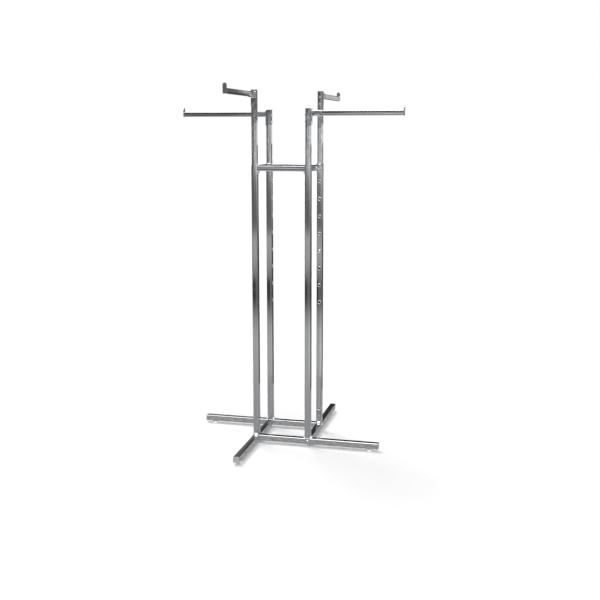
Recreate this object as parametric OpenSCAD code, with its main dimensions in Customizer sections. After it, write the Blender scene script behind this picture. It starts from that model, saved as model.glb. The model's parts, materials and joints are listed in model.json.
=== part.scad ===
// Four way clothing rack: a pinwheel base on four levelling feet, four outer
// uprights tied by a collar, and four height adjustable posts with straight arms.
// Frame: origin on the floor under the centre of the base, X right, Y back, Z up.
// Units are millimetres.

/* [Footprint] */
// centre to centre distance of neighbouring uprights
column_spacing = 228.6; // [200:0.1:260]
// upright centre to the tip of its leg
leg_reach = 308; // [260:1:340]
// floor to the top face of the base bars
base_top = 37; // [36:0.1:42]

/* [Square tube] */
// outer width of the base bars and the uprights
bar_w = 25.4; // [25.2:0.1:26.2]
// wall thickness of the base bars
bar_wall = 1.5; // [1.2:0.1:1.6]
// corner radius of every square tube
corner_r = 2.6; // [2.2:0.1:3.2]

/* [Uprights] */
// length of an outer upright above the base bar
upright_len = 1165; // [1120:1:1200]
// wall thickness of an upright
upright_wall = 1.2; // [1:0.1:1.2]
// number of height holes in an upright
hole_count = 8; // [8:1:9]
// distance from one height hole to the next
hole_pitch = 76.2; // [60:0.1:76.2]
// distance from the upright top down to the first height hole
hole_drop = 75; // [70:1:90]
// radius of a height hole
hole_r = 5.05; // [5.05:0.01:5.1]

/* [Collar] */
// outer width of the collar bars
collar_w = 22.2; // [22:0.1:23]
// distance from the upright top down to the collar top
collar_drop = 2; // [1:0.5:20]
// distance from the middle of a split collar bar to its clamp bolt
collar_bolt_offset = 12; // [0:1:20]

/* [Posts] */
// outer width of an inner post
post_w = 22.2; // [21.6:0.1:22.2]
// wall thickness of an inner post
post_wall = 1.2; // [1:0.1:1.2]
// overall length of a post with its cap
post_len = 727; // [720:1:760]
// post top down to the snap button
button_drop = 686.8; // [680:0.1:690]
// height hole used by the front left and rear right posts, counted from the top as 0
high_hole = 4; // [3:1:5]
// height hole used by the front right and rear left posts, counted from the top as 0
low_hole = 5; // [4:1:6]

/* [Arms] */
// upright centre to the outer face of the end stop
arm_reach = 393; // [300:1:400]
// width of the arm tube
arm_w = 15.9; // [15:0.1:16.5]
// height of the arm tube
arm_h = 20; // [18:0.5:22]
// post top down to the top of the arm
arm_drop = 9.5; // [9:0.5:12]
// height of the end stop above the top of the arm
stop_rise = 19; // [15:1:25]
// length of the socket round the root of the arm
socket_len = 45; // [35:1:55]
// height of the bracket plate on the post
plate_h = 67; // [62:1:70]

/* [Feet] */
// diameter of a foot pad
pad_d = 26.5; // [24:0.5:28]
// thickness of a foot pad
pad_h = 8; // [7:0.5:9]
// leg tip to the centre of its foot
foot_inset = 40; // [34:1:60]

/* [Hidden] */
$fn = 48;
s = column_spacing;
half = bar_w / 2;
base_bottom = base_top - bar_w;
base_mid = base_top - half;
cap_t = 2;
upright_top = base_top + upright_len;
collar_top = upright_top - collar_drop;
collar_mid = collar_top - collar_w / 2;
collar_wall = 1.5;
first_hole = upright_top - hole_drop;
high_top = first_hole - high_hole * hole_pitch + button_drop;
low_top = first_hole - low_hole * hole_pitch + button_drop;
fit = 0.05;
post_half = post_w / 2;
post_in = post_half - post_wall;
bolt_r = 3.2;
screw_r = 2.5;
screw_drops = [25, 54];
stem_r = 4;
stop_t = 3;
plate_t = 3;
sleeve_wall = 2;
plate_face = post_half + plate_t;
chrome = [0.80, 0.81, 0.83];
bright_chrome = [0.86, 0.87, 0.89];
grey_plastic = [0.42, 0.43, 0.45];
dark_plastic = [0.20, 0.20, 0.21];
white_nylon = [0.94, 0.94, 0.92];
zinc = [0.70, 0.71, 0.72];
spring_steel = [0.55, 0.56, 0.58];

// Column 0 is front left, 1 front right, 2 rear right, 3 rear left. In a column's
// own frame the arm and the leg point to -Y and the height holes face +Y.
module at_column(k) {
  rotate([0, 0, 90 * k])
    translate([-s / 2, -s / 2, 0])
      children();
}

function top_of(k) = k % 2 == 0 ? high_top : low_top;

module rounded_rect(w, h, r) {
  square([w - 2 * r, h], center = true);
  square([w, h - 2 * r], center = true);
  for (x = [-1, 1], y = [-1, 1])
    translate([x * (w / 2 - r), y * (h / 2 - r)])
      circle(r);
}

module rect_tube(w, h, wall, len, r = corner_r) {
  linear_extrude(len)
    difference() {
      rounded_rect(w, h, r);
      rounded_rect(w - 2 * wall, h - 2 * wall, max(r - wall, 0.6));
    }
}

// A rounded block from a to b along +Y
module block_y(w, h, a, b, r) {
  translate([0, b, 0])
    rotate([90, 0, 0])
      linear_extrude(b - a)
        rounded_rect(w, h, r);
}

module tube_y(w, h, wall, a, b, r) {
  translate([0, b, 0])
    rotate([90, 0, 0])
      rect_tube(w, h, wall, b - a, r);
}

// A round bar from a to b along +Y
module rod_y(r, a, b) {
  translate([0, a, 0])
    rotate([-90, 0, 0])
      cylinder(r = r, h = b - a);
}

// A round bar from a to b along +X
module rod_x(r, a, b) {
  translate([a, 0, 0])
    rotate([0, 90, 0])
      cylinder(r = r, h = b - a);
}

// Bar under column k, from the side of the neighbouring bar out to the leg tip
module base_bar(k) {
  color(chrome)
    at_column(k)
      difference() {
        translate([0, 0, base_mid])
          tube_y(bar_w, bar_w, bar_wall, cap_t - leg_reach, s - half, corner_r);
        translate([0, 0, base_mid])
          rod_x(bolt_r + fit, -half - 1, half + 1);
        translate([0, foot_inset - leg_reach, base_bottom - 1])
          cylinder(r = stem_r + 3 + fit, h = bar_wall + 2);
      }
}

module plug(w, wall, depth, r) {
  linear_extrude(cap_t)
    rounded_rect(w, w, r);
  translate([0, 0, -depth])
    rect_tube(w - 2 * wall - 0.2, w - 2 * wall - 0.2, 1.6, depth, max(r - wall, 0.6));
}

module leg_end_plugs() {
  color(grey_plastic)
    for (k = [0:3])
      at_column(k)
        translate([0, cap_t - leg_reach, base_mid])
          rotate([90, 0, 0])
            plug(bar_w, bar_wall, 14, corner_r);
}

// Low domed head with a hexagon socket, its seat at 0 and the head towards -X
module socket_head(r, h, socket_af) {
  rotate([0, -90, 0])
    difference() {
      union() {
        cylinder(r = r, h = h * 0.35);
        translate([0, 0, h * 0.35])
          cylinder(r1 = r, r2 = r * 0.62, h = h * 0.65);
      }
      translate([0, 0, h * 0.4])
        cylinder(r = socket_af / 1.732, h = h, $fn = 6);
    }
}

module base_corner_bolts() {
  color(bright_chrome)
    for (k = [0:3])
      at_column(k)
        translate([-half, 0, base_mid]) {
          socket_head(5.8, 3.6, 4);
          rod_x(bolt_r, 0, bar_w + 14);
        }
}

module base_corner_inserts() {
  color(zinc)
    for (k = [0:3])
      at_column(k)
        translate([half, 0, base_mid])
          difference() {
            rotate([0, 0, -90])
              block_y(bar_w - 2 * bar_wall - 0.2, bar_w - 2 * bar_wall - 0.2, 0, 18, 1.2);
            rod_x(bolt_r + fit, -1, 19);
          }
}

module leveler_inserts() {
  color(zinc)
    for (k = [0:3])
      at_column(k)
        translate([0, foot_inset - leg_reach, base_bottom])
          difference() {
            union() {
              cylinder(r = stem_r + 3, h = 12);
              translate([0, 0, bar_wall])
                cylinder(r = stem_r + 5, h = 1.5);
            }
            translate([0, 0, -1])
              cylinder(r = stem_r + fit, h = 14);
          }
}

module upright(k) {
  color(chrome)
    at_column(k)
      difference() {
        translate([0, 0, base_top])
          rect_tube(bar_w, bar_w, upright_wall, upright_len);
        for (i = [0:hole_count - 1])
          translate([0, 0, first_hole - i * hole_pitch])
            rod_y(hole_r, 0, half + 1);
      }
}

// Collar bar from column k to the next one. A split bar has a hole for its bolt.
module collar_bar(k, split) {
  color(chrome)
    at_column(k)
      translate([0, 0, collar_mid])
        difference() {
          rotate([0, 0, -90])
            tube_y(collar_w, collar_w, collar_wall, half, s - half, 2.2);
          if (split)
            translate([s / 2 - collar_bolt_offset, 0, 0])
              rod_y(bolt_r + fit, -collar_w, 0);
        }
}

// Stub on the column that the split collar bar slips over
module collar_spigots() {
  w = collar_w - 2 * collar_wall - 0.2;
  color(chrome)
    for (k = [1, 3])
      at_column(k)
        translate([0, 0, collar_mid])
          difference() {
            rotate([0, 0, -90])
              tube_y(w, w, 1.2, half, s / 2 + 8, 1.2);
            translate([s / 2 - collar_bolt_offset, 0, 0])
              rod_y(bolt_r + fit, -collar_w, 0);
          }
}

module collar_bolts() {
  color(bright_chrome)
    for (k = [1, 3])
      at_column(k)
        translate([s / 2 - collar_bolt_offset, -collar_w / 2, collar_mid])
          rotate([0, 0, 90]) {
            socket_head(5.6, 3.4, 4);
            rod_x(bolt_r, 0, 10);
          }
}

module collar_nuts() {
  color(zinc)
    for (k = [1, 3])
      at_column(k)
        translate([s / 2 - collar_bolt_offset, -collar_w / 2 + collar_wall + 1.3, collar_mid])
          rotate([-90, 0, 0])
            difference() {
              cylinder(r = 5.8, h = 5, $fn = 6);
              translate([0, 0, -1])
                cylinder(r = bolt_r + fit, h = 7);
            }
}

module post(k) {
  t = top_of(k);
  color(bright_chrome)
    at_column(k)
      difference() {
        translate([0, 0, t - post_len])
          rect_tube(post_w, post_w, post_wall, post_len - cap_t, 2.2);
        translate([0, 0, t - button_drop])
          rod_y(hole_r, 0, post_w);
        for (d = screw_drops)
          translate([0, 0, t - d])
            rod_y(screw_r + fit, -post_w, post_w);
      }
}

module post_cap(k) {
  color(dark_plastic)
    at_column(k)
      translate([0, 0, top_of(k) - cap_t])
        plug(post_w, post_wall, 12, 2.2);
}

// The root is a little slimmer, so it slips into the socket of the bracket
module arm(k) {
  mouth = -plate_face - socket_len;
  color(chrome)
    at_column(k)
      translate([0, 0, top_of(k) - arm_drop - arm_h / 2])
        difference() {
          union() {
            block_y(arm_w, arm_h, stop_t - arm_reach, mouth, 1.8);
            block_y(arm_w - 0.2, arm_h - 0.2, mouth - 1, -plate_face, 1.7);
          }
          block_y(arm_w - 2.4, arm_h - 2.4, -arm_reach, 0, 0.8);
        }
}

// Upturned plate welded over the end of the arm, its top end fully rounded
module arm_stop(k) {
  r = arm_w / 2;
  h = stop_rise + arm_h + 0.5;
  color(chrome)
    at_column(k)
      translate([0, stop_t - arm_reach, top_of(k) - arm_drop + stop_rise])
        rotate([90, 0, 0])
          difference() {
            linear_extrude(stop_t)
              union() {
                translate([0, -r])
                  circle(r);
                translate([-r, 2 - h])
                  square([arm_w, h - 2 - r]);
                translate([2 - r, -h])
                  square([arm_w - 4, 3]);
                for (x = [-1, 1])
                  translate([x * (r - 2), 2 - h])
                    circle(2);
              }
            translate([0, -r, stop_t - 1])
              cylinder(r = 2.2, h = 2);
          }
}

// Plate on the face of the post with a socket that holds the root of the arm
module arm_bracket(k) {
  t = top_of(k);
  sw = arm_w + 2 * sleeve_wall;
  sh = arm_h + 2 * sleeve_wall;
  color(chrome)
    at_column(k)
      difference() {
        union() {
          translate([0, 0, t - 1 - plate_h / 2])
            block_y(post_w, plate_h, -plate_face, -post_half, 3);
          translate([0, 0, t - arm_drop - arm_h / 2])
            tube_y(sw, sh, sleeve_wall, -plate_face - socket_len, -plate_face, 3.4);
        }
        for (d = screw_drops)
          translate([0, 0, t - d])
            rod_y(screw_r + fit, -plate_face - 1, 0);
      }
}

module arm_screws(k) {
  color(bright_chrome)
    at_column(k)
      for (d = screw_drops)
        translate([0, post_half, top_of(k) - d]) {
          rotate([0, 0, -90])
            socket_head(4.8, 3, 3);
          rod_y(screw_r, -post_w - plate_t + 0.2, 0);
        }
}

// Round nosed pin with a flange that stays behind the wall of the post
module snap_button(k) {
  color(bright_chrome)
    at_column(k)
      translate([0, 0, top_of(k) - button_drop]) {
        intersection() {
          rod_y(hole_r - fit, post_in - 1.4, half + 5);
          translate([0, half - 2.1, 0])
            sphere(r = 5.5);
        }
        rod_y(hole_r + 1.4, post_in - 1.4, post_in - 0.2);
      }
}

// Folded leaf that presses the button outwards from inside the post
module button_spring(k) {
  f = post_in - 1.6;
  b = post_in - 0.2;
  t = 0.8;
  color(spring_steel)
    at_column(k)
      translate([-4, 0, top_of(k) - button_drop])
        rotate([90, 0, 90])
          linear_extrude(8)
            polygon([
              [f, -7], [f, 9], [1.2, 52], [-1.2, 52], [-b, 9], [-b, -7],
              [t - b, -7], [t - b, 9], [-0.6, 50], [0.6, 50], [f - t, 9], [f - t, -7]
            ]);
}

module leveler(k) {
  color(zinc)
    at_column(k)
      translate([0, foot_inset - leg_reach, 0]) {
        translate([0, 0, pad_h])
          cylinder(r = stem_r, h = base_bottom + 19 - pad_h);
        translate([0, 0, pad_h])
          cylinder(r = 7.5, h = 2.2, $fn = 6);
      }
}

// Domed glide pad with a socket for the foot of the screw
module leveler_pad(k) {
  color(white_nylon)
    at_column(k)
      translate([0, foot_inset - leg_reach, 0]) {
        cylinder(r1 = pad_d / 2 - 1.2, r2 = pad_d / 2, h = 1.4);
        translate([0, 0, 1.4])
          cylinder(r = pad_d / 2, h = pad_h - 3.8);
        translate([0, 0, pad_h - 2.4])
          cylinder(r1 = pad_d / 2, r2 = pad_d / 2 - 3.6, h = 2.4);
      }
}

base_bar(0);  // base_bar_left
base_bar(1);  // base_bar_front
base_bar(2);  // base_bar_right
base_bar(3);  // base_bar_rear
leg_end_plugs();
base_corner_bolts();
base_corner_inserts();
leveler_inserts();
upright(0);  // upright_front_left
upright(1);  // upright_front_right
upright(2);  // upright_rear_right
upright(3);  // upright_rear_left
collar_bar(0, false);  // collar_bar_front
collar_bar(1, true);  // collar_bar_right
collar_bar(2, false);  // collar_bar_rear
collar_bar(3, true);  // collar_bar_left
collar_spigots();
collar_bolts();
collar_nuts();
post(0);  // post_front_left
post(1);  // post_front_right
post(2);  // post_rear_right
post(3);  // post_rear_left
post_cap(0);  // post_cap_front_left
post_cap(1);  // post_cap_front_right
post_cap(2);  // post_cap_rear_right
post_cap(3);  // post_cap_rear_left
arm(0);  // arm_front_left
arm(1);  // arm_front_right
arm(2);  // arm_rear_right
arm(3);  // arm_rear_left
arm_stop(0);  // arm_stop_front_left
arm_stop(1);  // arm_stop_front_right
arm_stop(2);  // arm_stop_rear_right
arm_stop(3);  // arm_stop_rear_left
arm_bracket(0);  // arm_bracket_front_left
arm_bracket(1);  // arm_bracket_front_right
arm_bracket(2);  // arm_bracket_rear_right
arm_bracket(3);  // arm_bracket_rear_left
arm_screws(0);  // arm_screws_front_left
arm_screws(1);  // arm_screws_front_right
arm_screws(2);  // arm_screws_rear_right
arm_screws(3);  // arm_screws_rear_left
snap_button(0);  // snap_button_front_left
snap_button(1);  // snap_button_front_right
snap_button(2);  // snap_button_rear_right
snap_button(3);  // snap_button_rear_left
button_spring(0);  // button_spring_front_left
button_spring(1);  // button_spring_front_right
button_spring(2);  // button_spring_rear_right
button_spring(3);  // button_spring_rear_left
leveler(0);  // leveler_front_left
leveler(1);  // leveler_front_right
leveler(2);  // leveler_rear_right
leveler(3);  // leveler_rear_left
leveler_pad(0);  // leveler_pad_front_left
leveler_pad(1);  // leveler_pad_front_right
leveler_pad(2);  // leveler_pad_rear_right
leveler_pad(3);  // leveler_pad_rear_left
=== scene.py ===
import json
import math

import bmesh
import bpy
from mathutils import Matrix, Vector


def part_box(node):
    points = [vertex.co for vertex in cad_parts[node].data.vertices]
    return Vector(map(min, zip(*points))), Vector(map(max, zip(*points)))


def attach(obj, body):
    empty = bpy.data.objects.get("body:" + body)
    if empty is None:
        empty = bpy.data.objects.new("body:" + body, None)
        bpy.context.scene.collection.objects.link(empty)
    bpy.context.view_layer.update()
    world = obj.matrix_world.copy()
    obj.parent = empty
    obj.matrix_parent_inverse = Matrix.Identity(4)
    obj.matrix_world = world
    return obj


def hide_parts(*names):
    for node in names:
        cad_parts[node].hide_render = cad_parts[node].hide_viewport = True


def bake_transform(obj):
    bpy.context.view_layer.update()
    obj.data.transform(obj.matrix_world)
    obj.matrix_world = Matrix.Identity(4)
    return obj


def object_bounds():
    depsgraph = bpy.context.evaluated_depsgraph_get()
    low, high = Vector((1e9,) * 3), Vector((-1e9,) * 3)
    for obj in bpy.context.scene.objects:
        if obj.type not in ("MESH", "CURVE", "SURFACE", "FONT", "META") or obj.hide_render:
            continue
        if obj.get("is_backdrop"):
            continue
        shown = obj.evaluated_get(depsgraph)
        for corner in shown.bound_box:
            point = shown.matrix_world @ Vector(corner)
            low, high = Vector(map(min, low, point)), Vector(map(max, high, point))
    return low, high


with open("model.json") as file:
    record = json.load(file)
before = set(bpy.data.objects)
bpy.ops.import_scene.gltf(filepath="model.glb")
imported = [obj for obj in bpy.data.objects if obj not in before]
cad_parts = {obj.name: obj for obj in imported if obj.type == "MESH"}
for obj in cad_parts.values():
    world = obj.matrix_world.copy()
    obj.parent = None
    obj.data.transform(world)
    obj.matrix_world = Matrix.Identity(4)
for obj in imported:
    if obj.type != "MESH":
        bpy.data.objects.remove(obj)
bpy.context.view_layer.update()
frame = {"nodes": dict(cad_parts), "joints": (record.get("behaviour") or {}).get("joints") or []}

NODES = frame["nodes"]
JOINTS = {joint["name"]: joint for joint in frame["joints"]}
CORNERS = ["front_left", "front_right", "rear_right", "rear_left"]
OUTWARD = [Vector((0, -1, 0)), Vector((1, 0, 0)), Vector((0, 1, 0)), Vector((-1, 0, 0))]
UP = Vector((0, 0, 1))
MM = 0.001
scene = bpy.context.scene


# ---------------------------------------------------------------- helpers
def centre(node):
    lo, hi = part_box(node)
    return (lo + hi) / 2


def link(name, mesh):
    obj = bpy.data.objects.new(name, mesh)
    scene.collection.objects.link(obj)
    return obj


def from_bmesh(name, bm, smooth=True):
    bmesh.ops.recalc_face_normals(bm, faces=bm.faces)
    mesh = bpy.data.meshes.new(name)
    bm.to_mesh(mesh)
    bm.free()
    if smooth:
        mesh.shade_smooth()
    return link(name, mesh)


def add_piece(name, bm, material, body, smooth=True):
    """A new mesh piece that rides on a body and wears the material it is given."""
    obj = from_bmesh(name, bm, smooth)
    obj.data.materials.append(material)
    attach(obj, body)
    return obj


# ---------------------------------------------------------------- node trees
class Nodes:
    """Short hand for building a node tree."""

    def __init__(self, tree):
        self.tree = tree

    def add(self, kind, inputs=(), **props):
        node = self.tree.nodes.new(kind)
        for key, value in props.items():
            setattr(node, key, value)
        for key, value in dict(inputs).items():
            self.set(node.inputs[key], value)
        return node

    def set(self, socket, value):
        if isinstance(value, bpy.types.NodeSocket):
            self.tree.links.new(value, socket)
        else:
            socket.default_value = value

    def math(self, op, a, b=0.0):
        return self.add("ShaderNodeMath", {0: a, 1: b}, operation=op).outputs[0]

    def remap(self, value, lo, hi, to_lo=0.0, to_hi=1.0, ease="LINEAR"):
        sockets = {0: value, 1: lo, 2: hi, 3: to_lo, 4: to_hi}
        return self.add("ShaderNodeMapRange", sockets, interpolation_type=ease).outputs[0]

    def ramp(self, value, stops):
        """Grey levels at rising positions from 0 to 1."""
        node = self.add("ShaderNodeValToRGB", {0: value})
        elements = node.color_ramp.elements
        elements.remove(elements[1])
        elements[0].position = stops[0][0]
        elements[0].color = (stops[0][1],) * 3 + (1,)
        for position, grey in stops[1:]:
            elements.new(position).color = (grey, grey, grey, 1)
        return node.outputs[0]

    def noise(self, vector, scale, detail=3.0, rough=0.5):
        sockets = {"Vector": vector, "Scale": scale, "Detail": detail, "Roughness": rough}
        return self.add("ShaderNodeTexNoise", sockets).outputs[0]

    def cells(self, vector, scale):
        sockets = {"Vector": vector, "Scale": scale}
        return self.add("ShaderNodeTexVoronoi", sockets).outputs["Distance"]

    def blend(self, factor, a, b):
        a, b = [tuple(c) + (1,) if isinstance(c, tuple) else c for c in (a, b)]
        sockets = {0: factor, 6: a, 7: b}
        return self.add("ShaderNodeMix", sockets, data_type="RGBA").outputs[2]

    def bump(self, height, depth, strength=1.0, normal=None):
        """Depth is the height in metres that a value of 1 stands for."""
        sockets = {"Strength": strength, "Distance": depth, "Height": height}
        if normal is not None:
            sockets["Normal"] = normal
        return self.add("ShaderNodeBump", sockets).outputs[0]


def blank_material(name):
    mat = bpy.data.materials.new(name)
    mat.use_nodes = True
    mat.node_tree.nodes.clear()
    return mat, Nodes(mat.node_tree)


def new_material(name, metallic=0.0):
    mat, n = blank_material(name)
    shader = n.add("ShaderNodeBsdfPrincipled", {"Metallic": metallic})
    n.add("ShaderNodeOutputMaterial", {"Surface": shader.outputs[0]})
    coord = n.add("ShaderNodeTexCoord").outputs["Object"]
    return mat, n, shader.inputs, coord


def glow_material(name, glow):
    """A material that only glows, by a function that builds its colour."""
    mat, n = blank_material(name)
    lamp = n.add("ShaderNodeEmission", {"Color": glow(n), "Strength": 1.0})
    n.add("ShaderNodeOutputMaterial", {"Surface": lamp.outputs[0]})
    return mat


def shade(colour, k):
    return tuple(c * k for c in colour)


# ---------------------------------------------------------------- materials
# A noise or cell scale is per metre: 900 gives marks about a millimetre across.
METAL = 1.0


def stretched(n, coord, along, k):
    """Coordinates squeezed along one axis, so that a noise runs in streaks along it."""
    scale = [1.0, 1.0, 1.0]
    if along is not None:
        scale[along] = k
    return n.add("ShaderNodeMapping", {"Vector": coord, "Scale": scale}).outputs[0]


def crown(n, along):
    """Falls away from the middle of a tube's faces to its corners, as rolled walls do."""
    generated = n.add("ShaderNodeTexCoord").outputs["Generated"]
    parts = n.add("ShaderNodeSeparateXYZ", {0: generated}).outputs
    total = 0.0
    for axis in range(3):
        if axis != along:
            off = n.math("SUBTRACT", parts[axis], 0.5)
            total = n.math("SUBTRACT", total, n.math("MULTIPLY", off, off))
    return total


def chrome(name, along, base, rough, wave, bulge=0.0, swell_size=26.0, draw=0.18):
    """Chrome plate on drawn tube: die lines and rub marks along the tube, handling
    smudges, a faint waviness of the wall and tiny pits in the plating.

    Rough is the lowest and highest roughness, wave the strength of the waviness,
    bulge the depth of the crown, and draw how far the waves are drawn out."""
    streak_shade, smudge_shade, pit_shade = 0.86, 0.90, 0.60
    smudge_share, grain_share = 0.6, 0.4
    swell_depth, line_depth, line_strength = 0.6 * MM, 0.03 * MM, 0.10
    mat, n, shader, coord = new_material(name, METAL)
    lines = n.noise(stretched(n, coord, along, 0.02), scale=900.0, detail=4.0, rough=0.7)
    streaks = n.noise(stretched(n, coord, along, 0.008), scale=230.0, detail=2.0, rough=0.6)
    smudge = n.noise(coord, scale=14.0, detail=5.0, rough=0.62)
    dirty = n.remap(smudge, 0.45, 0.75)
    grain = n.remap(lines, 0.35, 0.70)
    pit = n.remap(n.cells(coord, scale=420.0), 0.07, 0.0)
    rubbed = n.math("MULTIPLY", grain, grain_share)
    worn = n.math("ADD", n.math("MULTIPLY", dirty, smudge_share), rubbed)
    n.set(shader["Roughness"], n.remap(worn, 0.0, 1.0, *rough))
    plate = n.blend(n.remap(streaks, 0.35, 0.65), base, shade(base, streak_shade))
    plate = n.blend(dirty, plate, shade(base, smudge_shade))
    n.set(shader["Base Color"], n.blend(pit, plate, shade(base, pit_shade)))
    swell = n.noise(stretched(n, coord, along, draw), scale=swell_size, detail=2.0, rough=0.4)
    normal = n.bump(swell, swell_depth, wave)
    if bulge:
        normal = n.bump(crown(n, along), bulge, normal=normal)
    n.set(shader["Normal"], n.bump(lines, line_depth, line_strength, normal))
    return mat


def weld_metal(name):
    """Plated weld: bright crests, dull valleys, a little heat tint."""
    mat, n, shader, coord = new_material(name, METAL)
    ripple = n.noise(coord, scale=520.0, detail=4.0, rough=0.6)
    tint = n.remap(n.noise(coord, scale=90.0, detail=3.0), 0.45, 0.70)
    n.set(shader["Base Color"], n.blend(tint, (0.96, 0.96, 0.97), (0.84, 0.83, 0.81)))
    n.set(shader["Roughness"], n.remap(ripple, 0.0, 1.0, 0.18, 0.36))
    n.set(shader["Normal"], n.bump(ripple, depth=0.3 * MM, strength=0.35))
    return mat


def satin_metal(name, base, rough=(0.25, 0.45)):
    """Zinc plate or bare spring steel: mottled, slightly brushed."""
    spangle_share, fine_share, dull_shade = 0.6, 0.5, 0.78
    mat, n, shader, coord = new_material(name, METAL)
    fine = n.noise(coord, scale=1500.0, detail=3.0, rough=0.6)
    spangle = n.math("MULTIPLY", n.cells(coord, scale=300.0), spangle_share)
    mottle = n.math("ADD", spangle, n.math("MULTIPLY", fine, fine_share))
    n.set(shader["Base Color"], n.blend(mottle, base, shade(base, dull_shade)))
    n.set(shader["Roughness"], n.remap(mottle, 0.0, 1.0, *rough))
    n.set(shader["Normal"], n.bump(fine, depth=0.05 * MM, strength=0.2))
    return mat


def plastic(name, base, rough, scuff):
    """Moulded plastic: fine spark texture, and pale scuffs in patches."""
    scuff_grey, scuff_share = 0.75, 0.25
    mat, n, shader, coord = new_material(name)
    fine = n.noise(coord, scale=900.0, detail=3.0, rough=0.6)
    patch = n.noise(coord, scale=70.0, detail=4.0, rough=0.6)
    pale = tuple(c + (scuff_grey - c) * scuff_share * scuff for c in base)
    n.set(shader["Base Color"], n.blend(n.remap(patch, 0.45, 0.75), base, pale))
    n.set(shader["Roughness"], n.remap(patch, 0.0, 1.0, *rough))
    n.set(shader["Normal"], n.bump(fine, depth=0.06 * MM, strength=0.25))
    return mat


TUBE_PLATE = (0.80, 0.81, 0.83)
POST_PLATE = (0.84, 0.85, 0.87)
SMALL_PLATE = (0.88, 0.89, 0.91)
TUBE_ROUGH = (0.025, 0.10)
POST_ROUGH = (0.02, 0.07)
BRACKET_ROUGH = (0.03, 0.09)
SMALL_ROUGH = (0.05, 0.14)
TUBE_WAVE, ARM_WAVE, POST_WAVE, BRACKET_WAVE, SMALL_WAVE = 0.12, 0.15, 0.70, 0.45, 0.05
BULGE = 1.5 * MM
X, Y, Z = range(3)


def tube_chrome(kind, along, wave):
    name = "chrome_%s_%s" % (kind, "xyz"[along])
    return chrome(name, along, TUBE_PLATE, TUBE_ROUGH, wave, BULGE)


TUBES = [tube_chrome("tube", axis, TUBE_WAVE) for axis in (X, Y, Z)]
ARMS = [tube_chrome("arm", axis, ARM_WAVE) for axis in (X, Y)]
POST = chrome("chrome_post", Z, POST_PLATE, POST_ROUGH, POST_WAVE, BULGE, swell_size=40.0, draw=0.5)
BRACKET = chrome("chrome_bracket", None, POST_PLATE, BRACKET_ROUGH, BRACKET_WAVE, swell_size=60.0)
SMALL = chrome("chrome_small", None, SMALL_PLATE, SMALL_ROUGH, SMALL_WAVE)
WELD = weld_metal("chrome_weld")
BUTTON = satin_metal("nickel_button", (0.95, 0.95, 0.94), rough=(0.16, 0.30))
ZINC = satin_metal("zinc_plate", (0.70, 0.71, 0.72))
SPRING = satin_metal("spring_steel", (0.50, 0.51, 0.53))
PLUG = plastic("grey_plug", (0.32, 0.325, 0.335), rough=(0.20, 0.38), scuff=0.4)
CAP = plastic("dark_cap", (0.035, 0.035, 0.038), rough=(0.35, 0.55), scuff=0.3)
NYLON = plastic("white_nylon", (0.90, 0.90, 0.88), rough=(0.25, 0.42), scuff=0.0)


def long_axis(node):
    lo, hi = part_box(node)
    return max(range(3), key=lambda i: hi[i] - lo[i])


def material_of(node):
    by_start = {
        "post_cap": CAP,
        "post_": POST,
        "leg_end": PLUG,
        "leveler_pad": NYLON,
        "button_spring": SPRING,
        "snap_button": BUTTON,
        "base_corner_inserts": ZINC,
        "leveler": ZINC,
        "collar_nuts": ZINC,
        "collar_spigots": TUBES[Y],
        "arm_bracket": BRACKET,
        "arm_stop": SMALL,
        "arm_screws": SMALL,
        "base_corner_bolts": SMALL,
        "collar_bolts": SMALL,
    }
    for start, material in by_start.items():
        if node.startswith(start):
            return material
    tubes = ARMS if node.startswith("arm_") else TUBES
    return tubes[long_axis(node)]


EDGE_WIDTH, BRACKET_EDGE, PLUG_EDGE = 0.3 * MM, 0.6 * MM, 1.4 * MM
MERGE_GAP = 0.02 * MM
SHARP_FROM = math.radians(40)


def soften_edges(node, obj):
    """Small broken edges, so that every corner catches the light."""
    small = ("arm_stop", "arm_screws", "arm_bracket", "base_corner_bolts", "collar_bolts")
    moulded = ("post_cap", "leg_end", "snap_button", "leveler_pad")
    if not node.startswith(small + moulded):
        return
    merge = obj.modifiers.new("merge", "WELD")
    merge.merge_threshold = MERGE_GAP
    edge = obj.modifiers.new("edge", "BEVEL")
    edge.width = EDGE_WIDTH
    if node.startswith("arm_bracket"):
        edge.width = BRACKET_EDGE
    if node.startswith("leg_end"):
        edge.width = PLUG_EDGE
    edge.segments = 3
    edge.limit_method = "ANGLE"
    edge.angle_limit = SHARP_FROM
    edge.use_clamp_overlap = True


for node, obj in NODES.items():
    obj.data.materials.clear()
    obj.data.materials.append(material_of(node))
    soften_edges(node, obj)


# ---------------------------------------------------------------- weld beads
# An open bead thins to TAPER_START of its radius at its ends. Its crests stand SCALLOP
# higher, one every SCALLOP_STEPS steps, and UNEVEN keeps any two beads from matching.
BEAD_STEP = 1.0 * MM
BEAD_SIDES = 12
TAPER_START, TAPER_STEP = 0.35, 0.22
SCALLOP, SCALLOP_STEPS = 0.10, 3.0
UNEVEN, UNEVEN_STEP, UNEVEN_SHIFT = 0.06, 1.7, 3


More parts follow.
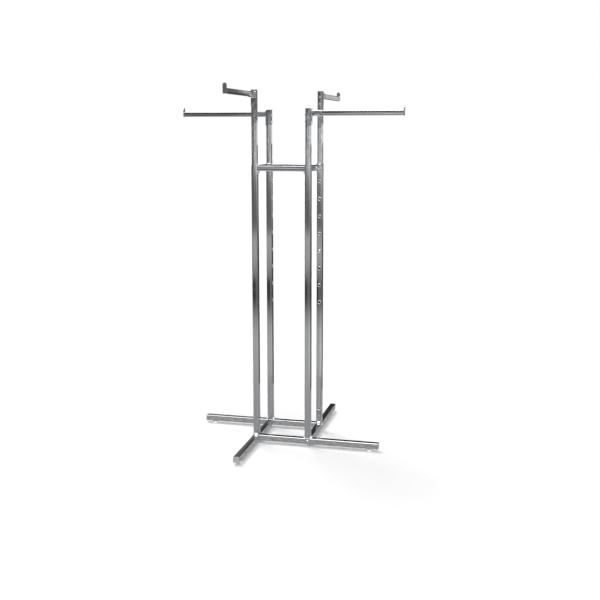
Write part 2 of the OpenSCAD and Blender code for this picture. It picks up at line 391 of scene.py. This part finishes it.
def bead(name, path, radius, body, facing, closed=False):
    """A weld bead along a path: a tube of overlapping scallops, tapered at open ends."""
    ends = path[1:] + (path[:1] if closed else [])
    points = []
    for a, b in zip(path, ends):
        count = max(2, int((b - a).length / BEAD_STEP))
        points += [a.lerp(b, i / count) for i in range(count)]
    if not closed:
        points.append(path[-1].copy())
    total = len(points)
    angles = [k * math.tau / BEAD_SIDES for k in range(BEAD_SIDES)]
    bm = bmesh.new()
    rings = []
    for i, p in enumerate(points):
        ahead = points[(i + 1) % total] if closed or i + 1 < total else p
        behind = points[i - 1] if closed or i > 0 else p
        run = (ahead - behind).normalized()
        u = (facing - run * facing.dot(run)).normalized()
        w = run.cross(u)
        taper = 1.0 if closed else min(1.0, TAPER_START + TAPER_STEP * min(i, total - 1 - i))
        scallop = 1.0 + SCALLOP * math.cos(i * math.tau / SCALLOP_STEPS)
        scallop += UNEVEN * math.sin(i * UNEVEN_STEP + UNEVEN_SHIFT * p.x / MM)
        r = radius * taper * scallop
        rings.append([bm.verts.new(p + (u * math.cos(a) + w * math.sin(a)) * r) for a in angles])
    for i in range(total if closed else total - 1):
        a, b = rings[i], rings[(i + 1) % total]
        for k in range(BEAD_SIDES):
            j = (k + 1) % BEAD_SIDES
            bm.faces.new((a[k], a[j], b[j], b[k]))
    if not closed:
        bm.faces.new(rings[0])
        bm.faces.new(rings[-1])
    add_piece(name, bm, WELD, body)


upright_lo, upright_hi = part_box("upright_front_left")
HALF = (upright_hi.x - upright_lo.x) / 2
BASE_TOP = upright_lo.z
COLLAR_LO, COLLAR_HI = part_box("collar_bar_front")
# Beads by radius. INSET is how far a bead's ends stay inside the upright's corners.
FAT_BEAD, FAT_BEAD_INSET, FAT_BEAD_OFFSET = 6.4 * MM, 3.5 * MM, 1.0 * MM
THIN_BEAD, THIN_BEAD_INSET = 1.5 * MM, 1.5 * MM
THIN_BEAD_SUNK, THIN_BEAD_DROP = 1.0 * MM, 0.4 * MM
COLLAR_LOWER_BEAD, COLLAR_LOWER_DROP = 6.0 * MM, 4.0 * MM
COLLAR_UPPER_BEAD, COLLAR_UPPER_RISE = 2.2 * MM, 0.5 * MM
COLLAR_BEAD_INSET, COLLAR_BEAD_OFFSET = 4.5 * MM, 0.4 * MM
PLATE_OFFSET, SOCKET_MARGIN, SOCKET_BEAD = 1.7 * MM, 2.0 * MM, 1.6 * MM
STOP_OFFSET, STOP_SIDE_SUNK, STOP_TOP_SUNK, STOP_BEAD = 1.7 * MM, 0.6 * MM, 0.2 * MM, 1.2 * MM


def foot_welds(corner, here, out, side):
    """Fat fillets across the base bar, thin beads along it where the walls are flush."""
    for sign, tag in ((1, "outer"), (-1, "inner")):
        foot = here + out * sign * (HALF + FAT_BEAD_OFFSET) + UP * (BASE_TOP + FAT_BEAD_OFFSET)
        line = [foot + side * s * (HALF - FAT_BEAD_INSET) for s in (-1, 1)]
        bead("weld_foot_%s_%s" % (tag, corner), line, FAT_BEAD, "base_frame", out)
    for sign, tag in ((1, "left"), (-1, "right")):
        foot = here + side * sign * (HALF - THIN_BEAD_SUNK) + UP * (BASE_TOP - THIN_BEAD_DROP)
        line = [foot + out * s * (HALF - THIN_BEAD_INSET) for s in (-1, 1)]
        bead("weld_foot_%s_%s" % (tag, corner), line, THIN_BEAD, "base_frame", side)


def collar_welds(corner, here, faces):
    """Beads above and below each collar bar where it meets the upright."""
    for face, tag in faces:
        across = UP.cross(face)
        for level, z, radius in (
            ("lower", COLLAR_LO.z - COLLAR_LOWER_DROP, COLLAR_LOWER_BEAD),
            ("upper", COLLAR_HI.z + COLLAR_UPPER_RISE, COLLAR_UPPER_BEAD),
        ):
            seat = here + face * (HALF + COLLAR_BEAD_OFFSET) + UP * z
            line = [seat + across * s * (HALF - COLLAR_BEAD_INSET) for s in (-1, 1)]
            bead("weld_collar_%s_%s_%s" % (tag, level, corner), line, radius, "base_frame", face)


def arm_welds(corner, out, side):
    """A bead round the socket on its plate, and one round the arm behind the end stop."""
    body = "post_assembly_" + corner
    lo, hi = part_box("arm_" + corner)
    middle = (lo + hi) / 2
    half_w = min(hi.x - lo.x, hi.y - lo.y) / 2
    half_h = (hi.z - lo.z) / 2
    plate = centre("post_" + corner) + out * (HALF + PLATE_OFFSET)
    stop = centre("arm_stop_" + corner) - out * STOP_OFFSET
    for name, at, w, h, r in (
        ("weld_socket_", plate, half_w + SOCKET_MARGIN, half_h + SOCKET_MARGIN, SOCKET_BEAD),
        ("weld_stop_", stop, half_w - STOP_SIDE_SUNK, half_h - STOP_TOP_SUNK, STOP_BEAD),
    ):
        at.z = middle.z
        loop = [at + side * x * w + UP * y * h for x, y in ((-1, -1), (1, -1), (1, 1), (-1, 1))]
        bead(name + corner, loop, r, body, out, closed=True)


# ---------------------------------------------------------------- drawn lips of the holes
def swept_ring(bm, at, axis, profile, steps=48):
    """Sweeps a closed profile of (radius, height) points round an axis through a point."""
    u = axis.orthogonal().normalized()
    w = axis.cross(u)
    rings = []
    for i in range(steps):
        angle = math.tau * i / steps
        d = u * math.cos(angle) + w * math.sin(angle)
        rings.append([bm.verts.new(at + d * r + axis * h) for r, h in profile])
    count = len(profile)
    for i in range(steps):
        p, q = rings[i], rings[(i + 1) % steps]
        for k in range(count):
            j = (k + 1) % count
            bm.faces.new((p[k], p[j], q[j], q[k]))


button_lo, button_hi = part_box("snap_button_front_right")
BUTTON_FLANGE = 1.4 * MM
HOLE_R = (button_hi.z - button_lo.z) / 2 - BUTTON_FLANGE
LIP_WIDTH = 3.0 * MM
LIP_RISE = 1.4 * MM
LIP_SUNK = 0.4 * MM
LIP_GAP = 0.12 * MM
TRAVEL_PITCHES = 6


def lip_profile():
    """A rounded swelling between the hole's edge and the flat of the wall."""
    inner = HOLE_R + LIP_GAP
    arc = [math.pi * i / 10 for i in range(11)]
    half = LIP_WIDTH / 2
    dome = [(inner + half - half * math.cos(a), LIP_RISE * math.sin(a)) for a in arc]
    return [(inner, -LIP_SUNK)] + dome + [(inner + LIP_WIDTH, -LIP_SUNK)]


def hole_lips(corner, here, facing):
    button = centre("snap_button_" + corner)
    low, high = JOINTS["post_height_" + corner]["range_m"]
    pitch = (high - low) / TRAVEL_PITCHES
    bm = bmesh.new()
    z = button.z + high + pitch
    while z > button.z + low - pitch / 2:
        swept_ring(bm, here + facing * HALF + UP * z, facing, lip_profile())
        z -= pitch
    add_piece("hole_lips_" + corner, bm, SMALL, "base_frame")


# ---------------------------------------------------------------- levelling screws
def screw_stem(corner):
    """Levelling screw with a real thread, in the envelope of its CAD node."""
    lo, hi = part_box("leveler_" + corner)
    axis = Vector(((lo.x + hi.x) / 2, (lo.y + hi.y) / 2, 0))
    head_r, head_h, head_edge = 7.5 * MM, 2.2 * MM, 0.25 * MM
    crest, root, pitch, overlap = 4.0 * MM, 3.35 * MM, 1.25 * MM, 0.02 * MM
    flank = [(root, 0.0), (crest, 0.45), (crest, 0.55), (root, 1.0)]  # radius, share of the pitch
    steps = 28
    start = lo.z + head_h
    turns = (hi.z - start) / pitch - 1.0
    bm = bmesh.new()
    columns = []
    for i in range(int(turns * steps) + 1):
        angle = math.tau * i / steps
        d = Vector((math.cos(angle), math.sin(angle), 0))
        z = start + pitch * i / steps
        columns.append([bm.verts.new(axis + d * r + UP * (z + f * pitch)) for r, f in flank])
    for a, b in zip(columns, columns[1:]):
        for k in range(3):
            bm.faces.new((a[k], b[k], b[k + 1], a[k + 1]))

    def prism(segments, radius, bottom, top):
        place = Matrix.Translation(axis + UP * (bottom + top) / 2)
        size = {"radius1": radius, "radius2": radius, "depth": top - bottom}
        return bmesh.ops.create_cone(bm, cap_ends=True, segments=segments, matrix=place, **size)

    prism(steps, root + overlap, start, hi.z)
    head = prism(6, head_r, lo.z, start)
    edges = list({e for v in head["verts"] for e in v.link_edges})
    bmesh.ops.bevel(bm, geom=edges, offset=head_edge, segments=2, affect="EDGES")
    name = "leveler_screw_" + corner
    obj = add_piece(name, bm, ZINC, "foot_" + corner, smooth=False)
    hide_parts("leveler_" + corner)


# ---------------------------------------------------------------- button springs
def leaf_spring(corner, here, facing, side):
    """Folded leaf in the envelope of its CAD node, with a back leg and a front leg."""
    name = "button_spring_" + corner
    lo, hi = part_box(name)
    ends = sorted([(lo - here).dot(facing), (hi - here).dot(facing)])
    leaf, fold, knee_share, steps = 0.8 * MM, 0.8 * MM, 0.27, 12
    back, front = ends[0] + leaf / 2, ends[1] - leaf / 2
    half_w = abs((hi - lo).dot(side)) / 2
    knee = lo.z + (hi.z - lo.z) * knee_share
    crest = hi.z - fold - leaf / 2
    shares = [i / steps for i in range(steps + 1)]
    path = [(front, lo.z)]
    path += [(front + (fold - front) * t, knee + (crest - knee) * t) for t in shares]
    turn = [math.pi * i / 8 for i in range(1, 8)]
    path += [(fold * math.cos(a), crest + fold * math.sin(a)) for a in turn]
    path += [(-fold + (back + fold) * t, crest + (knee - crest) * t) for t in shares]
    path.append((back, lo.z))
    bm = bmesh.new()
    rings = []
    for i, (u, z) in enumerate(path):
        ahead = path[min(i + 1, len(path) - 1)]
        behind = path[max(i - 1, 0)]
        run = Vector((ahead[0] - behind[0], ahead[1] - behind[1])).normalized()
        off_u, off_z = -run.y * leaf / 2, run.x * leaf / 2
        ring = []
        for s, w in ((1, -1), (1, 1), (-1, 1), (-1, -1)):
            ring.append(here + facing * (u + s * off_u) + UP * (z + s * off_z) + side * w * half_w)
        rings.append([bm.verts.new(p) for p in ring])
    for a, b in zip(rings, rings[1:]):
        for k in range(4):
            j = (k + 1) % 4
            bm.faces.new((a[k], a[j], b[j], b[k]))
    bm.faces.new(rings[0])
    bm.faces.new(rings[-1])
    obj = from_bmesh("leaf_spring_" + corner, bm, smooth=False)
    obj.data.materials.append(SPRING)
    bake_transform(obj)
    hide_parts(name)


for corner, out in zip(CORNERS, OUTWARD):
    column = centre("upright_" + corner)
    here = Vector((column.x, column.y, 0))
    side = UP.cross(out)
    foot_welds(corner, here, out, side)
    collar_welds(corner, here, ((side, "a"), (-out, "b")))
    arm_welds(corner, out, side)
    hole_lips(corner, here, -out)
    screw_stem(corner)
    leaf_spring(corner, here, -out, side)


# ---------------------------------------------------------------- what the chrome reflects
def seen_by(obj, camera=False, glossy=False):
    """A stage object that lights nothing and shows only to the rays named."""
    obj.visible_camera = camera
    obj.visible_glossy = glossy
    obj.visible_diffuse = False
    obj.visible_transmission = False
    obj.visible_volume_scatter = False
    obj.visible_shadow = False
    obj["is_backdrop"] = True


def shell(name, radius, glow):
    """A far sphere that glows by a function of direction."""
    bm = bmesh.new()
    bmesh.ops.create_icosphere(bm, subdivisions=5, radius=radius)
    obj = from_bmesh(name, bm)
    obj.data.materials.append(glow_material(name, glow))
    return obj


CHROME_REFLECTS = 0.80


def light_of(level):
    """Scene light that chrome shows at a display level from 0 to 255, by the sRGB curve."""
    c = level / 255
    linear = c / 12.92 if c <= 0.04045 else ((c + 0.055) / 1.055) ** 2.4
    return linear / CHROME_REFLECTS


# Display level by height angle in degrees, one column of panels for each side of the
# room. Above them hangs a ring of softboxes, broad and bright at the front.
RING = [(30, 190), (36, 250), (50, 250), (57, 160), (90, 150)]
FRONT_RING = [(30, 220), (36, 330), (80, 330), (86, 190), (90, 150)]
FRONT = [
    (-90, 235), (-36, 225), (-24, 142), (-17.7, 142), (-15.8, 150), (-13, 163), (-12, 160),
    (-11.5, 148), (-11, 126), (-10.5, 112), (-9.6, 88), (-9.1, 98), (-8.6, 120), (-8.1, 146),
    (-7.6, 156), (-6.15, 162), (-5.9, 104), (-5.2, 92), (-4.3, 98), (-3.3, 110),
    (-2.4, 126), (-1.9, 148), (0.2, 150), (0.6, 112), (2.2, 106), (3.5, 84), (12, 68),
]
REAR = [
    (-90, 235), (-36, 225), (-26, 150), (-19, 150), (-16.8, 135), (-15.8, 66), (-6, 60),
    (-5.4, 104), (1.6, 92), (6, 84), (10, 46), (27, 42),
]
RIGHT = [
    (-90, 235), (-36, 225), (-22, 140), (-12, 120), (-10, 62), (-6, 84), (-5.6, 132),
    (-2, 152), (-1.2, 106), (3, 98), (8, 74), (12, 90), (22, 120),
]
LEFT = [
    (-90, 235), (-36, 225), (-18, 158), (-11, 150), (-9, 56), (-5.5, 92), (0, 118),
    (12, 96), (22, 110),
]
# What stands before those columns: how much brighter it is, then where it stands in
# azimuth and in height. Each span is from, to, soft before and soft after, in degrees.
FRONT_PANELS = [
    (2.7, (-5.0, 180.0, 8.0, 1.0), (-2.2, 0.3, 4.0, 0.5)),  # table towards the middle
    (0.5, (-180.0, -19.0, 1.0, 3.6), (-2.2, 20.0, 4.0, 10.0)),  # dark edge on the left
    (0.20, (-40.0, -15.2, 4.0, 2.0), (-9.95, -8.95, 1.0, 0.25)),  # dark stand low on the left
    (1.7, (-5.0, 180.0, 8.0, 1.0), (-14.0, -11.0, 2.0, 0.6)),  # pale floor towards the middle
]
REAR_PANELS = [
    (0.25, (-26.0, -9.0, 6.0, 3.0), (-30.0, 6.0, 6.0, 4.0)),  # dark wall
    (2.6, (-3.5, 4.0, 3.0, 2.0), (-14.0, 20.0, 1.5, 6.0)),  # screen
    (4.5, (-60.0, -16.5, 10.0, 0.7), (14.0, 27.0, 2.0, 3.0)),  # pale ceiling on one side
]
DOOR_GAIN, RAIL_SHARE = 4.4, 1.5
WIDE_DOOR = ((10.9, 12.2, 0.4, 0.3), (-4.6, 9.0, 0.8, 3.0))
NARROW_DOOR = ((15.95, 16.6, 0.3, 0.3), (0.7, 9.0, 0.3, 2.0))
DOOR_RAIL = ((6.0, 24.0, 2.0, 8.0), (-0.5, 0.5, 0.3, 0.2))
SHAPE_SCALE, SHAPE_DARK, SHAPE_PALE = 0.022, 0.42, 1.85
SHAPE_HEIGHTS = (-1.8, 26.0, 1.6, 4.0)
OVERHEAD_GAIN = 2.2


def room(n):
    """The studio round the rack, by direction: four sides blended into one another."""
    coord = n.add("ShaderNodeTexCoord").outputs["Object"]
    x, y, z = n.add("ShaderNodeSeparateXYZ", {0: coord}).outputs
    degree = 180.0 / math.pi
    flat = n.math("SQRT", n.math("ADD", n.math("MULTIPLY", x, x), n.math("MULTIPLY", y, y)))
    height = n.math("MULTIPLY", n.math("ARCTAN2", z, flat), degree)
    minus_x = n.math("MULTIPLY", x, -1.0)
    minus_y = n.math("MULTIPLY", y, -1.0)
    from_front = n.math("MULTIPLY", n.math("ARCTAN2", x, minus_y), degree)
    from_rear = n.math("MULTIPLY", n.math("ARCTAN2", x, y), degree)
    unit = n.math("ADD", n.math("DIVIDE", height, 180.0), 0.5)

    def column(levels, ring=RING):
        """The light of one side of the room by height angle."""
        peak = light_of(ring[1][1])
        stops = [(0.5 + e / 180.0, light_of(v) / peak) for e, v in levels + ring]
        return n.math("MULTIPLY", n.ramp(unit, stops), peak)

    def window(value, lo, hi, soft_lo, soft_hi):
        """1 from lo to hi, fading to 0 over the soft margins outside them."""
        rise = n.remap(value, lo - soft_lo, lo, ease="SMOOTHSTEP")
        fall = n.remap(value, hi, hi + soft_hi, 1.0, 0.0, ease="SMOOTHSTEP")
        return n.math("MULTIPLY", rise, fall)

    def toward(value):
        """How far the direction turns towards one side, squared, so that the four add to 1."""
        part = n.math("MAXIMUM", n.math("DIVIDE", value, flat), 0.0)
        return n.math("MULTIPLY", part, part)

    def scaled(value, factor, where):
        """Value, and factor times it where the mask is 1."""
        gain = n.math("ADD", 1.0, n.math("MULTIPLY", where, factor - 1.0))
        return n.math("MULTIPLY", value, gain)

    def stands(azimuth, across, up):
        """1 inside a panel that spans one window in azimuth and one in height."""
        return n.math("MULTIPLY", window(azimuth, *across), window(height, *up))

    front = column(FRONT, FRONT_RING)
    shapes = n.remap(n.noise(coord, SHAPE_SCALE, 2.0), 0.40, 0.60, SHAPE_DARK, SHAPE_PALE)
    change = n.math("MULTIPLY", window(height, *SHAPE_HEIGHTS), n.math("SUBTRACT", shapes, 1.0))
    front = n.math("MULTIPLY", front, n.math("ADD", 1.0, change))
    for factor, across, up in FRONT_PANELS:
        front = scaled(front, factor, stands(from_front, across, up))
    left = n.remap(from_front, -40.0, -24.0)
    overhead = n.math("MULTIPLY", n.remap(height, 24.0, 32.0), left)
    front = scaled(front, OVERHEAD_GAIN, overhead)
    doors = n.math("ADD", stands(from_rear, *WIDE_DOOR), stands(from_rear, *NARROW_DOOR))
    rail = n.math("MULTIPLY", stands(from_rear, *DOOR_RAIL), RAIL_SHARE)
    rear = scaled(column(REAR), DOOR_GAIN, n.math("MAXIMUM", doors, rail))
    for factor, across, up in REAR_PANELS:
        rear = scaled(rear, factor, stands(from_rear, across, up))
    sides = (minus_y, front), (y, rear), (x, column(RIGHT)), (minus_x, column(LEFT))
    total = 0.0
    for value, light in sides:
        total = n.math("ADD", total, n.math("MULTIPLY", light, toward(value)))
    return total


SHELL_RADIUS = 1000.0
BACKDROP_RADIUS = 60.0
seen_by(shell("studio_shell", SHELL_RADIUS, room), glossy=True)
seen_by(shell("white_backdrop", BACKDROP_RADIUS, lambda n: (1.0, 1.0, 1.0, 1.0)), camera=True)

FLOOR_DISC = 0.85
DISC_LIFT = 0.2 * MM
DISC_DARK, DISC_PALE = light_of(128), light_of(164)


def mottled_glow(n):
    coord = n.add("ShaderNodeTexCoord").outputs["Object"]
    patch = n.remap(n.noise(coord, scale=45.0, detail=3.0, rough=0.6), 0.38, 0.62)
    return n.remap(patch, 0.0, 1.0, DISC_DARK, DISC_PALE)


def reflected_floor():
    """The grey mottled floor close round the base, as the low chrome reflects it."""
    bm = bmesh.new()
    bmesh.ops.create_circle(bm, cap_ends=True, segments=64, radius=FLOOR_DISC)
    obj = from_bmesh("reflected_floor", bm, smooth=False)
    obj.location.z = DISC_LIFT
    obj.data.materials.append(glow_material("reflected_floor", mottled_glow))
    seen_by(obj, glossy=True)


reflected_floor()

# ---------------------------------------------------------------- floor and light
FLOOR_SIZE = 50.0
FLOOR_GREYS = ((0.90, 0.90, 0.90), (0.92, 0.92, 0.92))
FLOOR_ROUGH = 0.9
SKY_LIGHT = 0.48


def pale_floor():
    bm = bmesh.new()
    bmesh.ops.create_grid(bm, x_segments=1, y_segments=1, size=FLOOR_SIZE)
    floor = from_bmesh("floor", bm, smooth=False)
    mat, n, shader, coord = new_material("pale_floor")
    mottle = n.remap(n.noise(coord, scale=1.5, detail=2.0), 0.3, 0.7)
    n.set(shader["Base Color"], n.blend(mottle, *FLOOR_GREYS))
    n.set(shader["Roughness"], FLOOR_ROUGH)
    n.set(shader["Specular IOR Level"], 0.0)
    floor.data.materials.append(mat)
    floor.visible_glossy = False
    floor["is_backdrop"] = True


pale_floor()

world = bpy.data.worlds.new("world")
world.use_nodes = True
world_nodes = world.node_tree.nodes
sky = world_nodes.get("Background") or world_nodes.new("ShaderNodeBackground")
sky.inputs["Color"].default_value = (1, 1, 1, 1)
sky.inputs["Strength"].default_value = SKY_LIGHT
scene.world = world


def soft_sun(name, come_from, strength, spread):
    data = bpy.data.lights.new(name, "SUN")
    data.energy = strength
    data.angle = math.radians(spread)
    obj = bpy.data.objects.new(name, data)
    scene.collection.objects.link(obj)
    obj.rotation_mode = "QUATERNION"
    obj.rotation_quaternion = Vector(come_from).to_track_quat("Z", "Y")
    obj.visible_glossy = False


soft_sun("key_light", (-0.45, 0.40, 1.0), strength=1.5, spread=24)
soft_sun("fill_light", (0.30, -1.00, 0.70), strength=1.6, spread=60)

# ---------------------------------------------------------------- camera
# fitted to the photo together with the rack's proportions
CAMERA_RIGHT, CAMERA_BACK, CAMERA_HEIGHT = 1.0015, 3.9366, 1.341
CAMERA_YAW, CAMERA_PITCH = math.radians(13.57), math.radians(10.11)
FOCAL_MM, SENSOR_MM = 56.8, 36.0

lo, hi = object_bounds()
middle = (lo + hi) / 2
ahead = math.cos(CAMERA_PITCH)
look = Vector((-math.sin(CAMERA_YAW) * ahead, math.cos(CAMERA_YAW) * ahead, -math.sin(CAMERA_PITCH)))
lens = bpy.data.cameras.new("camera")
lens.sensor_width = SENSOR_MM
lens.lens = FOCAL_MM
lens.clip_start = 0.1
lens.clip_end = 200.0
camera = bpy.data.objects.new("camera", lens)
scene.collection.objects.link(camera)
camera.location = Vector((middle.x + CAMERA_RIGHT, middle.y - CAMERA_BACK, lo.z + CAMERA_HEIGHT))
camera.rotation_mode = "QUATERNION"
camera.rotation_quaternion = look.to_track_quat("-Z", "Y")
scene.camera = camera

scene.view_settings.view_transform = "Standard"
scene.view_settings.look = "None"
